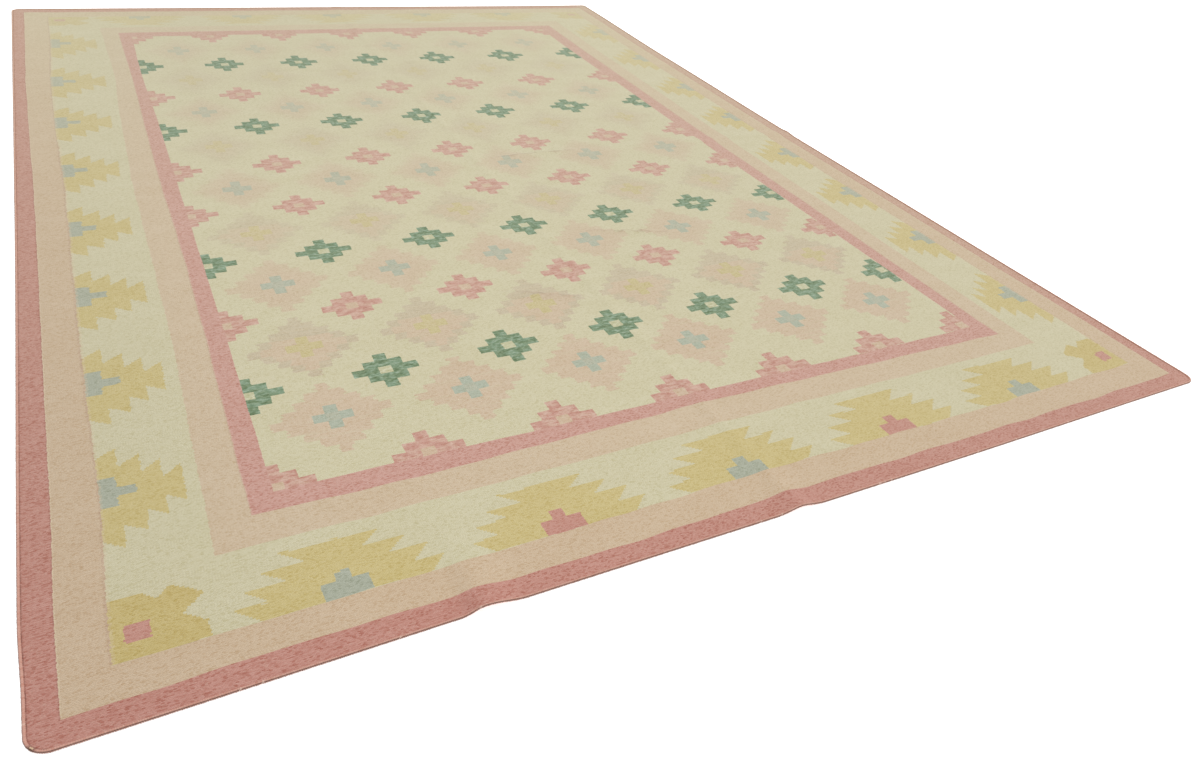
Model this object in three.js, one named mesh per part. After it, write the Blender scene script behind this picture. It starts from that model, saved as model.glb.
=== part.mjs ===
import * as THREE from 'three';

// A flat-woven kilim rug with a whipped edge, lying on a floor.
// Millimetres, +Z up. X runs across the rug and +Y from its near end to its far end.
// The origin is the middle of the rug's own box, on the floor.

// Driving dimensions
const rugWidth = 2700;
const rugLength = 3700;
const clothThickness = 3;
const edgeWidth = 7;
const edgeHeight = 6;
const edgeSides = 8;
const seamGap = 0.3;

// The cloth is laid out on a grid, with lines at its folds and corners and even ones between
const plainSpacing = 310;
const closestLines = 12;

// Round corners, each a number of these steps across
const cornerStep = 13;
const cornerSteps = { nearLeft: 3, nearRight: 2, farLeft: 2, farRight: 2 };

// Folds that lift the cloth off the floor. A crest runs along one axis, from one place to another,
// and stands at one place on the other axis, with a slope on its low side and one on its high side.
const folds = [
  { name: 'near ridge', runs: 'y', at: -672, lowSlope: 55, highSlope: 80, from: -1850, to: -1590, rise: 12, left: 0 },
  { name: 'near ripple', runs: 'y', at: -4, lowSlope: 64, highSlope: 64, from: -1850, to: -1640, rise: 7.5, left: 0 },
  { name: 'length crease', runs: 'y', at: -4, lowSlope: 32, highSlope: 32, from: -1850, to: 1850, rise: 2, left: 2 },
  { name: 'cross crease', runs: 'x', at: -60, lowSlope: 45, highSlope: 45, from: -1350, to: 1350, rise: 1.5, left: 3 },
];

// How far each edge stands out of, or draws into, its straight line, at places along it
const edgeWaver = {
  left: [
    { at: -1850, out: 0 },
    { at: -300, out: -2 },
    { at: 1850, out: 0 },
  ],
  right: [
    { at: -1850, out: -1 },
    { at: -900, out: -8 },
    { at: -30, out: -12 },
    { at: 900, out: -5 },
    { at: 1850, out: 14 },
  ],
  near: [
    { at: -1350, out: 0 },
    { at: -672, out: -2 },
    { at: 400, out: 1 },
    { at: 1350, out: 0 },
  ],
  far: [
    { at: -1350, out: 0 },
    { at: 0, out: -2 },
    { at: 1350, out: 0 },
  ],
};

// The cloth ends one seam inside the whipped edge
const clothHalfWidth = rugWidth / 2 - edgeWidth - seamGap;
const clothHalfLength = rugLength / 2 - edgeWidth - seamGap;

// Height of the fold profile at a distance from its crest: 1 at the crest, 0 past its slope
function slopeProfile(distance, slope) {
  const share = Math.min(Math.abs(distance) / slope, 1);
  return (1 + Math.cos(Math.PI * share)) / 2;
}

// How high one fold lifts the cloth at a point
function foldHeight(fold, x, y) {
  const along = fold.runs === 'y' ? y : x;
  const across = (fold.runs === 'y' ? x : y) - fold.at;
  const run = THREE.MathUtils.clamp((along - fold.from) / (fold.to - fold.from), 0, 1);
  const crest = fold.left + (fold.rise - fold.left) * (1 - run) ** 2;
  return crest * slopeProfile(across, across < 0 ? fold.lowSlope : fold.highSlope);
}

function clothHeight(x, y) {
  return folds.reduce((height, fold) => height + foldHeight(fold, x, y), 0);
}

// An edge's waver at a place along it, eased from one row of its table to the next
function waverAt(rows, place) {
  const next = rows.findIndex((row) => row.at >= place);
  if (next === 0) return rows[0].out;
  if (next < 0) return rows[rows.length - 1].out;
  const before = rows[next - 1];
  const after = rows[next];
  const share = THREE.MathUtils.smoothstep(place, before.at, after.at);
  return THREE.MathUtils.lerp(before.out, after.out, share);
}

// A point of the flat, straight-edged rug, taken to where the real cloth lies at a height in it
function lay(x, y, lift) {
  const acrossShare = x / rugWidth + 1 / 2;
  const alongShare = y / rugLength + 1 / 2;
  const shiftX = THREE.MathUtils.lerp(-waverAt(edgeWaver.left, y), waverAt(edgeWaver.right, y), acrossShare);
  const shiftY = THREE.MathUtils.lerp(-waverAt(edgeWaver.near, x), waverAt(edgeWaver.far, x), alongShare);
  return new THREE.Vector3(x + shiftX, y + shiftY, clothHeight(x, y) + lift);
}

// Grid lines along one axis: at the corners' steps, over each fold, and evenly in between
function gridLines(halfSize, axis) {
  const steps = Math.max(...Object.values(cornerSteps));
  const lines = [];
  for (let step = 0; step <= steps; step += 1) {
    lines.push(step * cornerStep - halfSize, halfSize - step * cornerStep);
  }
  for (const fold of folds) {
    if (fold.runs === axis) {
      if (fold.to < halfSize) {
        for (const share of [1 / 6, 1 / 3, 2 / 3, 1]) {
          lines.push(THREE.MathUtils.lerp(fold.from, fold.to, share));
        }
      }
    } else {
      lines.push(fold.at - fold.lowSlope, fold.at - fold.lowSlope / 2, fold.at);
      lines.push(fold.at + fold.highSlope / 2, fold.at + fold.highSlope);
    }
  }
  const plainCount = Math.round((2 * halfSize) / plainSpacing);
  for (let index = 1; index < plainCount; index += 1) {
    const line = (2 * halfSize * index) / plainCount - halfSize;
    if (lines.every((other) => Math.abs(other - line) > plainSpacing / 3)) lines.push(line);
  }
  lines.sort((first, second) => first - second);
  return lines.filter((line, index) => index === 0 || line - lines[index - 1] >= closestLines);
}

const linesAcross = gridLines(clothHalfWidth, 'x');
const linesAlong = gridLines(clothHalfLength, 'y');

// The corner's radius nearest to a point of the cloth
function cornerRadius(x, y) {
  const end = y < 0 ? 'near' : 'far';
  const side = x < 0 ? 'Left' : 'Right';
  return cornerSteps[end + side] * cornerStep;
}

// A grid point drawn in from its square corner onto the round one, and the way out from it
function roundCorner(x, y) {
  const radius = cornerRadius(x, y);
  const pastX = Math.abs(x) - (clothHalfWidth - radius);
  const pastY = Math.abs(y) - (clothHalfLength - radius);
  if (pastX <= 0 || pastY <= 0) {
    const onSide = Math.abs(x) >= clothHalfWidth;
    return { x, y, outX: onSide ? Math.sign(x) : 0, outY: onSide ? 0 : Math.sign(y) };
  }
  const reach = Math.hypot(pastX, pastY);
  const ring = Math.max(pastX, pastY) / reach;
  return {
    x: Math.sign(x) * (clothHalfWidth - radius + pastX * ring),
    y: Math.sign(y) * (clothHalfLength - radius + pastY * ring),
    outX: (Math.sign(x) * pastX) / reach,
    outY: (Math.sign(y) * pastY) / reach,
  };
}

// The woven cloth: a flat box of one cell per grid space, laid on its folds
function makeCloth() {
  const cellsAcross = linesAcross.length - 1;
  const cellsAlong = linesAlong.length - 1;
  const geometry = new THREE.BoxGeometry(cellsAcross, cellsAlong, 1, cellsAcross, cellsAlong, 1);
  const corners = geometry.attributes.position;
  for (let index = 0; index < corners.count; index += 1) {
    const across = linesAcross[Math.round(corners.getX(index) + cellsAcross / 2)];
    const along = linesAlong[Math.round(corners.getY(index) + cellsAlong / 2)];
    const flat = roundCorner(across, along);
    const laid = lay(flat.x, flat.y, corners.getZ(index) > 0 ? clothThickness : 0);
    corners.setXYZ(index, laid.x, laid.y, laid.z);
  }
  geometry.computeVertexNormals();
  return geometry;
}

// The cloth's outline as grid points, once round it, anticlockwise seen from above
function outlineStations() {
  const near = linesAcross.map((x) => [x, -clothHalfLength]);
  const right = linesAlong.map((y) => [clothHalfWidth, y]);
  const far = linesAcross.map((x) => [x, clothHalfLength]).reverse();
  const left = linesAlong.map((y) => [-clothHalfWidth, y]).reverse();
  return [near, right, far, left].flatMap((side) => side.slice(0, -1));
}

// The whipped edge: a ring whose section has flat faces below, above and to both sides
function makeEdge() {
  const stations = outlineStations();
  const geometry = new THREE.TorusGeometry(2, 1, edgeSides, stations.length);
  const flatFace = Math.cos(Math.PI / edgeSides);
  const points = geometry.attributes.position;
  for (let index = 0; index < points.count; index += 1) {
    const station = stations[(index % (stations.length + 1)) % stations.length];
    const side = Math.floor(index / (stations.length + 1)) % edgeSides;
    const angle = ((side + 1 / 2) * 2 * Math.PI) / edgeSides;
    const fromCentre = (Math.cos(angle) / flatFace) * (edgeWidth / 2);
    const height = (1 + Math.sin(angle) / flatFace) * (edgeHeight / 2);
    const foot = roundCorner(...station);
    const out = seamGap + edgeWidth / 2 + fromCentre;
    const laid = lay(foot.x + foot.outX * out, foot.y + foot.outY * out, height);
    points.setXYZ(index, laid.x, laid.y, laid.z);
  }
  geometry.computeVertexNormals();
  return geometry;
}

function piece(name, geometry, colour) {
  const material = new THREE.MeshStandardMaterial({ color: colour, roughness: 0.95, metalness: 0 });
  const mesh = new THREE.Mesh(geometry, material);
  mesh.name = name;
  return mesh;
}

const cream = 0xcecca8;
const salmonRose = 0xcf9188;

const rug = new THREE.Group();
rug.add(piece('kilim_cloth', makeCloth(), cream));
rug.add(piece('edge_binding', makeEdge(), salmonRose));

// The right edge swells near the far end, so the rug is centred on the box that it fills
const middle = new THREE.Box3().setFromObject(rug).getCenter(new THREE.Vector3());
rug.position.set(-middle.x, -middle.y, 0);

export default rug;
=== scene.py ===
import math
from functools import partial, reduce

import bpy
import numpy as np
from mathutils import Matrix, Vector


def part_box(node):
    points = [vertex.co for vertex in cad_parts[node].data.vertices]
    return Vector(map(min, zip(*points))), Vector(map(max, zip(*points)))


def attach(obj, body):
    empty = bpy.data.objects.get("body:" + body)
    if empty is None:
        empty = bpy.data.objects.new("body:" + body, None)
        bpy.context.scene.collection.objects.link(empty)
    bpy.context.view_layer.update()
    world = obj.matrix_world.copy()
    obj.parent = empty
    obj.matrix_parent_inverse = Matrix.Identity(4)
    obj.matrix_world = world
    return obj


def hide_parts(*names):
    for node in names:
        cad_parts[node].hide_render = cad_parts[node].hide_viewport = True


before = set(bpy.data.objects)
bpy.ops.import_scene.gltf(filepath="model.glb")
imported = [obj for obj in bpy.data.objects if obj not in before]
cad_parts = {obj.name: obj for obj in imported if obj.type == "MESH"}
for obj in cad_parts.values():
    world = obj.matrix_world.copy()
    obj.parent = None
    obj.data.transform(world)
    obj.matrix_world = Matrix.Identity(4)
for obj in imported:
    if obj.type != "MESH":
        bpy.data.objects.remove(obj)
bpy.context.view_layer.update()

# Kilim rug: a woven cloth and a whipped edge. Metres, +Y runs from the near end to the far one.
# Places on the rug are measured from the middle of its straight-edged shape.
rug = {
    "width": 2.7,
    "length": 3.7,
    "clothThick": 0.003,
    "edgeWide": 0.0056,
    "edgeTall": 0.006,
    "edgeBite": 0.0008,
    "nearLeftRadius": 0.031,
    "nearRightRadius": 0.027,
    "farLeftRadius": 0.026,
    "farRightRadius": 0.012,
}
halfWidth = rug["width"] / 2
halfLength = rug["length"] / 2
# the whipping bites a little into the cloth's edge, so no floor shows between them
clothHalfWidth = halfWidth - rug["edgeWide"] + rug["edgeBite"]
clothHalfLength = halfLength - rug["edgeWide"] + rug["edgeBite"]

# the rug's left edge and far edge are straight, so they tell where its middle is in the frame
edgeLow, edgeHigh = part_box("edge_binding")
middleX = edgeLow.x + halfWidth
middleY = edgeHigh.y - halfLength

# camera, solved from the rug's four corners
view = {
    "eye": (-1.0795, -2.7343, 1.1966),
    "toward": (0.4339, 0.6857, -0.5844),
    "up": (0.1905, 0.5641, 0.8034),
    "lens": 26.48,
    "sensor": 36.0,
}


def addCamera():
    data = bpy.data.cameras.new("camera")
    data.lens = view["lens"]
    data.sensor_width = view["sensor"]
    camera = bpy.data.objects.new("camera", data)
    bpy.context.scene.collection.objects.link(camera)
    back = -Vector(view["toward"]).normalized()
    side = Vector(view["up"]).cross(back).normalized()
    turned = Matrix((side, back.cross(side), back)).transposed().to_4x4()
    eye = Vector(view["eye"]) + Vector((middleX, middleY, 0))
    camera.matrix_world = Matrix.Translation(eye) @ turned
    bpy.context.scene.camera = camera


addCamera()
print("camera placed")


# Folds that lift the cloth off the floor, each a crest from one point to another.
# low and high are how far its slopes reach, and rise and left its height at the two ends.
folds = [
    # the near ridge and the near ripple
    {"start": (-0.680, -1.85), "end": (-0.672, -1.59), "low": 0.045, "high": 0.080,
     "rise": 0.012, "left": 0.0},
    {"start": (-0.004, -1.85), "end": (-0.004, -1.64), "low": 0.064, "high": 0.064,
     "rise": 0.0075, "left": 0.0},
    # the creases along and across the middle, from when it was folded
    {"start": (-0.004, -1.85), "end": (-0.004, 1.85), "low": 0.032, "high": 0.032,
     "rise": 0.002, "left": 0.002},
    {"start": (-1.35, -0.06), "end": (1.35, -0.06), "low": 0.045, "high": 0.045,
     "rise": 0.0015, "left": 0.003},
]
# Small creases that fade out to both ends, with a line of shade along each crest
creases = [
    {"start": (0.04, -0.058), "end": (0.40, -0.049), "low": 0.012, "high": 0.024, "rise": 0.0035,
     "line": 0.009, "shade": 0.42},
    {"start": (0.12, -0.625), "end": (0.40, -0.71), "low": 0.014, "high": 0.024, "rise": 0.0035,
     "line": 0.007, "shade": 0.42},
    {"start": (-0.27, -0.885), "end": (-0.02, -0.998), "low": 0.018, "high": 0.028, "rise": 0.0055,
     "line": 0.010, "shade": 0.30},
]

# how far each edge stands out of its straight line, at places along it
edgeWaver = {
    "left": ((-1.85, -0.004), (-1.77, -0.003), (-1.6, 0.0015), (-0.3, -0.002), (1.85, 0.0)),
    "right": ((-1.85, -0.003), (-0.9, -0.008), (-0.03, -0.012), (0.9, -0.005), (1.85, 0.014)),
    "near": ((-1.35, 0.0), (-1.2, 0.0002), (-0.672, -0.0008), (0.4, 0.002), (1.35, -0.002)),
    "far": ((-1.35, -0.014), (0.0, -0.014), (0.95, -0.017), (1.35, -0.010)),
}
farPull = 6  # the far edge draws in only near itself, so its share is taken to this power


# 0 up to the first place and 1 from the second one on
def ramp(value, start, end):
    return np.clip((value - start) / (end - start), 0, 1)


# a fold's unit way from start to end, and its length
def foldWay(fold):
    (startX, startY), (endX, endY) = fold["start"], fold["end"]
    length = math.hypot(endX - startX, endY - startY)
    return (endX - startX) / length, (endY - startY) / length, length


def foldHeight(fold, x, y):
    startX, startY = fold["start"]
    wayX, wayY, length = foldWay(fold)
    run = np.clip(((x - startX) * wayX + (y - startY) * wayY) / length, 0, 1)
    across = (x - startX) * wayY - (y - startY) * wayX
    slope = np.where(across < 0, fold["low"], fold["high"])
    profile = (1 + np.cos(np.pi * np.minimum(np.abs(across) / slope, 1))) / 2
    if fold in creases:
        return fold["rise"] * np.sin(np.pi * run) * profile
    return (fold["left"] + (fold["rise"] - fold["left"]) * (1 - run) ** 2) * profile


def clothHeight(x, y):
    return sum(foldHeight(fold, x, y) for fold in folds + creases)


def waverAt(rows, place):
    out = np.full_like(place, rows[0][1])
    for (before, beforeOut), (after, afterOut) in zip(rows, rows[1:]):
        share = ramp(place, before, after)
        out = out + (afterOut - beforeOut) * share * share * (3 - 2 * share)
    return out


# takes points of the flat, straight-edged rug to where the cloth lies
def lay(x, y, lift):
    acrossShare = x / rug["width"] + 0.5
    alongShare = y / rug["length"] + 0.5
    left, right = -waverAt(edgeWaver["left"], y), waverAt(edgeWaver["right"], y)
    near, far = -waverAt(edgeWaver["near"], x), waverAt(edgeWaver["far"], x)
    laidX = x + left + (right - left) * acrossShare + middleX
    laidY = y + near * (1 - alongShare) + far * alongShare**farPull + middleY
    return np.stack([laidX, laidY, clothHeight(x, y) + lift], axis=1)


# each point's corner radius, and how far past the middle of that rounding it is, each way
def pastCorner(x, y):
    near = np.where(x < 0, rug["nearLeftRadius"], rug["nearRightRadius"])
    far = np.where(x < 0, rug["farLeftRadius"], rug["farRightRadius"])
    radius = np.where(y < 0, near, far)
    return radius, np.abs(x) - (clothHalfWidth - radius), np.abs(y) - (clothHalfLength - radius)


# draws grid points in from the square corners onto the round ones
def roundCorners(x, y):
    radius, pastX, pastY = pastCorner(x, y)
    inCorner = (pastX > 0) & (pastY > 0)
    reach = np.maximum(np.hypot(pastX, pastY), 1e-9)
    ring = np.where(inCorner, np.maximum(pastX, pastY) / reach, 1.0)
    roundX = np.where(inCorner, np.sign(x) * (clothHalfWidth - radius + pastX * ring), x)
    roundY = np.where(inCorner, np.sign(y) * (clothHalfLength - radius + pastY * ring), y)
    return roundX, roundY


# how far in from the cloth's edge a point is
def fromRim(x, y):
    radius, pastX, pastY = pastCorner(x, y)
    inCorner = (pastX > 0) & (pastY > 0)
    return radius - np.where(inCorner, np.hypot(pastX, pastY), np.maximum(pastX, pastY))


# The chart: where the woven bands and motifs come, measured from the left and near edges.
# One chart step is the chart's own unit.
chartStep = 0.0019286
chart = {
    # edges of the bands, counted in from each edge of the rug, at even places along that edge
    "leftBands": (
        (0, 23.5, 57.5, 151.5, 187.5, 212.0),
        (0, 26.2, 65.0, 154.2, 190.0, 213.2),
        (0, 25.0, 61.8, 157.0, 193.2, 214.2),
        (0, 24.4, 61.8, 156.0, 194.2, 214.2),
        (0, 24.0, 62.4, 155.2, 192.6, 214.8),
        (0, 21.6, 59.0, 161.0, 193.6, 215.6),
        (0, 20.0, 60.0, 169.0, 196.0, 213.2),
        (0, 22.0, 65.0, 165.0, 194.0, 217.0),
        (0, 23.0, 65.5, 162.0, 193.5, 219.0)),
    "rightBands": (
        (0, 22.0, 60.0, 158.0, 193.5, 218.0),
        (0, 25.0, 61.0, 159.5, 194.0, 224.0),
        (0, 26.5, 60.0, 159.0, 196.0, 232.0)),
    "nearBands": (
        (0, 23.5, 59.0, 148.2, 185.4, 210.5),
        (0, 26.6, 59.2, 147.4, 185.8, 210.6),
        (0, 24.2, 58.8, 146.6, 182.8, 210.3),
        (0, 23.4, 60.3, 148.8, 187.4, 209.4),
        (0, 26.2, 62.0, 153.6, 193.0, 210.8),
        (0, 25.4, 61.4, 154.2, 191.2, 211.5),
        (0, 24.6, 60.8, 152.8, 188.2, 211.6),
        (0, 23.8, 61.8, 152.0, 184.6, 212.2),
        (0, 25.0, 62.4, 149.8, 186.0, 212.8)),
    "farBands": (
        (0, 25.0, 62.5, 153.0, 192.0, 221.0),
        (0, 25.0, 62.5, 153.0, 190.5, 221.0)),
    # middles of the columns of small crosses, at the near and the far end
    "columns": ((216.0, 371, 531, 688, 844, 1011.5, 1171), (219.5, 371, 513.5, 664, 813, 980.5, 1163)),
    # middles of the rows of small crosses, at the left and the right
    "rows": (
        (214, 364, 508.5, 663.5, 816, 972, 1144, 1309, 1492, 1690),
        (222, 394, 546.5, 683.5, 831, 992.5, 1160, 1325, 1494, 1690)),
    "greenRows": (1, 3, 6, 8),
    # middles of the columns and rows of pale diamonds, likewise
    "paleColumns": (
        (294, 453, 612, 768, 934, 1096),
        (296, 447, 593, 740, 898, 1072)),
    "paleRows": (
        (302, 437, 590, 741, 890, 1066, 1225, 1404, 1593),
        (322, 470, 616, 762, 920, 1080, 1242, 1412, 1588)),
    # middles of the yellow half medallions in the border
    "endMedallions": (
        (246, 456, 681, 903, 1128),
        (245, 462, 668, 897, 1118)),
    "sideMedallions": (
        (261.5, 440.5, 629, 813, 1014, 1216, 1424, 1660),
        (264, 462, 645, 832, 1037, 1223, 1437, 1658)),
}
chartWidth, chartLength = rug["width"] / chartStep, rug["length"] / chartStep


# a place as a smooth count along a row of measured ones: 0 at the first, 1 at the second and so on
def countAlong(place, measured):
    steps = np.asarray(measured, float)
    count = np.interp(place, steps, np.arange(len(steps)))
    first, last = steps[1] - steps[0], steps[-1] - steps[-2]
    count = np.where(place < steps[0], (place - steps[0]) / first, count)
    return np.where(place > steps[-1], len(steps) - 1 + (place - steps[-1]) / last, count)


# the same between rows that were measured at even places along the other way
def blendCounts(place, name, share):
    rows = chart[name]
    total = 0
    for number, row in enumerate(rows):
        weight = np.clip(1 - np.abs(share * (len(rows) - 1) - number), 0, 1)
        total = total + weight * countAlong(place, row)
    return total


# The cloth's grid, closer together over the folds and at the corners, and its unevenness
cloth = {
    "spacing": 0.0185,
    "foldSpacing": 0.0085,
    "cornerSpacing": 0.0065,
    "cornerLines": 6,
    "nearestLines": 0.0035,
    "cockle": 0.0009,
    "cockleSize": 0.11,
    "cockleRim": 0.05,
    "unevenBeat": 1.9,
    "beatSize": 0.045,
    "beatStretch": 0.6,
    "unevenWarp": 0.8,
    "warpSize": 0.06,
    "smoothAngle": 50,
}

# How much painted sheen pales the colours, how far the dyes are faded and painted shade darkens them,
# and over which shares of the rug's width or length that comes in. The rim's reach is in metres from the
# right edge.
paintedLightAndWear = {
    "paintedSheenFar": 0.34,
    "paintedSheenRight": 0.10,
    "paintedSheenRim": 0.18,
    "rimReach": (-0.066, -0.036),
    "rimAlong": (0.03, 0.18),
    "paintedSheenEdge": 0.06,
    "fadedFar": 0.42,
    "fadedAlong": (0.5, 1.0),
    "fadedPower": 1.5,
    "paintedShadeLeft": 0.076,
    "paintedShadeLeftAcross": (0.2, 0.0),
    "paintedShadeLeftAlong": (0.9375, 0.1875),
    "paintedShadeFar": 0.050,
    "paintedShadeFarShare": (0.4, 0.8),
    "paintedShadeFarAcross": (-0.025, 0.225),
    "blurredAlong": (0.2, 0.6),
}

# what the cloth's attributes hold at each point, by name
chartAttributes = {
    "laid": ("fromLeft", "fromNear", "fromEdge"),
    "bands": ("xBand", "yBand", "towardFar"),
    "field": ("column", "row", "green"),
    "diamonds": ("paleColumn", "paleRow", "faded"),
    "border": ("endCount", "sideCount", "paintedSheen"),
    "paintedLightAndWear": ("paintedShade", "blurred"),
}


def gridLines(half, axis):
    spacing, nearestLines = cloth["spacing"], cloth["nearestLines"]
    lines = [-half, half]
    for step in range(1, cloth["cornerLines"] + 1):
        lines += [step * cloth["cornerSpacing"] - half, half - step * cloth["cornerSpacing"]]
    for fold in folds + creases:
        start, end = fold["start"][axis], fold["end"][axis]
        other = abs(fold["end"][1 - axis] - fold["start"][1 - axis])
        if abs(end - start) < other:
            low, high = min(start, end) - fold["low"], max(start, end) + fold["high"]
            count = max(2, round((high - low) / cloth["foldSpacing"]))
            lines += [low + (high - low) * step / count for step in range(count + 1)]
    count = round(2 * half / spacing)
    even = [-half + 2 * half * step / count for step in range(1, count)]
    lines += [line for line in even if min(abs(line - other) for other in lines) > spacing / 2]
    lines = sorted(line for line in lines if abs(line) <= half)
    kept = [lines[0]]
    for line in lines[1:-1]:
        if line - kept[-1] >= nearestLines and half - line >= nearestLines:
            kept.append(line)
    return np.array(kept + [lines[-1]])


def readAll(items, name, width=1, kind=np.float32):
    values = np.zeros(len(items) * width, kind)
    items.foreach_get(name, values)
    return values


def getPoints(mesh):
    return readAll(mesh.vertices, "co", 3).reshape(-1, 3).astype(float)


def setPoints(mesh, points):
    mesh.vertices.foreach_set("co", np.asarray(points, np.float32).ravel())
    mesh.update()


# up to three values for each point, as one attribute
def addAttribute(mesh, name, columns):
    attribute = mesh.attributes.new(name, "FLOAT_VECTOR", "POINT")
    padded = [*columns, 0.0, 0.0][:3]
    values = np.stack([np.broadcast_to(column, len(mesh.vertices)) for column in padded], axis=1)
    attribute.data.foreach_set("vector", values.astype(np.float32).ravel())


# a flat grid of so many cells, with each point's column and row
def addGrid(name, cellsAcross, cellsAlong):
    bpy.ops.object.select_all(action="DESELECT")
    bpy.ops.mesh.primitive_grid_add(x_subdivisions=cellsAcross, y_subdivisions=cellsAlong, size=2)
    piece = bpy.context.object
    piece.name = name
    points = getPoints(piece.data)
    columns = np.rint((points[:, 0] + 1) / 2 * cellsAcross).astype(int)
    rows = np.rint((points[:, 1] + 1) / 2 * cellsAlong).astype(int)
    return piece, columns, rows


# a slow, smooth unevenness between 0 and 1, from a few waves that don't line up
def softWaves(x, y, size):
    waves = (
        np.sin(x / size * 2.1 + 1.3 * np.sin(y / size * 0.9 + 0.4))
        + np.sin(y / size * 1.7 + 1.1 * np.sin(x / size * 1.3 + 2.0))
        + np.sin((x + y) / size * 1.2 + 4.2)
    )
    return waves / 6 + 0.5


# painted sheen: the colours are a little paler towards the far end and the right side
def paintedSheenAt(acrossShare, alongShare):
    return paintedLightAndWear["paintedSheenFar"] * alongShare + paintedLightAndWear["paintedSheenRight"] * acrossShare


# writes the chart onto the flat cloth, as counts that the material reads
def chartCloth(mesh):
    x, y, _ = getPoints(mesh).T
    fromLeft, fromNear = x + halfWidth, y + halfLength
    # woven by hand, so no line of the pattern is quite straight
    warpWave = softWaves(y, x, cloth["warpSize"]) - 0.5
    beatWave = softWaves(x, y * cloth["beatStretch"], cloth["beatSize"]) - 0.5
    chartX = fromLeft / chartStep + cloth["unevenWarp"] * warpWave
    chartY = fromNear / chartStep + cloth["unevenBeat"] * beatWave
    across = np.clip(chartX / chartWidth, 0, 1)
    along = np.clip(chartY / chartLength, 0, 1)
    row = blendCounts(chartY, "rows", across)
    atRim = ramp(x - halfWidth, *paintedLightAndWear["rimReach"]) * ramp(along, *paintedLightAndWear["rimAlong"])
    # painted shade: darker towards the near left corner, and towards the far end and the right side
    paintedShadeLeft = ramp(across, *paintedLightAndWear["paintedShadeLeftAcross"]) * ramp(along, *paintedLightAndWear["paintedShadeLeftAlong"])
    paintedShadeFar = ramp(np.maximum(across, along), *paintedLightAndWear["paintedShadeFarShare"])
    paintedShadeFar = paintedShadeFar * ramp(across, *paintedLightAndWear["paintedShadeFarAcross"])
    values = {
        "fromLeft": fromLeft,
        "fromNear": fromNear,
        "fromEdge": fromRim(x, y),
        "xBand": np.minimum(blendCounts(chartX, "leftBands", along),
                            blendCounts(chartWidth - chartX, "rightBands", along)),
        "yBand": np.minimum(blendCounts(chartY, "nearBands", across),
                            blendCounts(chartLength - chartY, "farBands", across)),
        "towardFar": np.where(y < 0, 1.0, -1.0),
        "column": blendCounts(chartX, "columns", along),
        "row": row,
        "green": np.isin(np.rint(row).astype(int), chart["greenRows"]).astype(float),
        "paleColumn": blendCounts(chartX, "paleColumns", along),
        "paleRow": blendCounts(chartY, "paleRows", across),
        "endCount": blendCounts(chartX, "endMedallions", along),
        "sideCount": blendCounts(chartY, "sideMedallions", across),
        # the peach and the yellow fade most at the far end
        "faded": paintedLightAndWear["fadedFar"] * ramp(along, *paintedLightAndWear["fadedAlong"]) ** paintedLightAndWear["fadedPower"],
        # painted sheen: paler towards the far end and the right side, and by the right rim
        "paintedSheen": paintedSheenAt(across, along) + paintedLightAndWear["paintedSheenRim"] * atRim,
        # painted shade: darker towards the near left corner, and towards the far end and the right side
        "paintedShade": paintedLightAndWear["paintedShadeLeft"] * paintedShadeLeft + paintedLightAndWear["paintedShadeFar"] * paintedShadeFar,
        # the pale diamonds are the most worn past the middle
        "blurred": ramp(along, *paintedLightAndWear["blurredAlong"]),
    }
    for name, parts in chartAttributes.items():
        addAttribute(mesh, name, [values[part] for part in parts])


# The map for baking, in metres: top and underside beside each other, and above them the thin rim,
# stretched in its height and squeezed in its length
bakeMap = {
    "span": 5.5,
    "undersideFrom": 2.73,
    "rimFrom": 5.45,
    "rimStretch": 4,
    "rimSqueeze": 0.5,
    "levelFace": 0.5,
}


def mapCloth(mesh):
    layer = mesh.uv_layers.new(name="OFBake")
    upward = np.repeat(readAll(mesh.polygons, "normal", 3)[2::3],
                       readAll(mesh.polygons, "loop_total", kind=np.int32))
    corners = readAll(mesh.loops, "vertex_index", kind=np.int32)
    x, y, z = (getPoints(mesh)[corners] + (halfWidth, halfLength, 0)).T
    u, v = y.copy(), x.copy()
    v[upward < -bakeMap["levelFace"]] += bakeMap["undersideFrom"]
    rim = np.abs(upward) <= bakeMap["levelFace"]
    u[rim] = (x + y)[rim] * bakeMap["rimSqueeze"]
    v[rim] = bakeMap["rimFrom"] + z[rim] * bakeMap["rimStretch"]
    places = np.stack([u, v], axis=1) / bakeMap["span"]
    layer.data.foreach_set("uv", places.astype(np.float32).ravel())


def applyModifiers(piece):
    bpy.ops.object.select_all(action="DESELECT")
    piece.select_set(True)
    bpy.context.view_layer.objects.active = piece
    for modifier in list(piece.modifiers):
        bpy.ops.object.modifier_apply(modifier=modifier.name)


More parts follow.
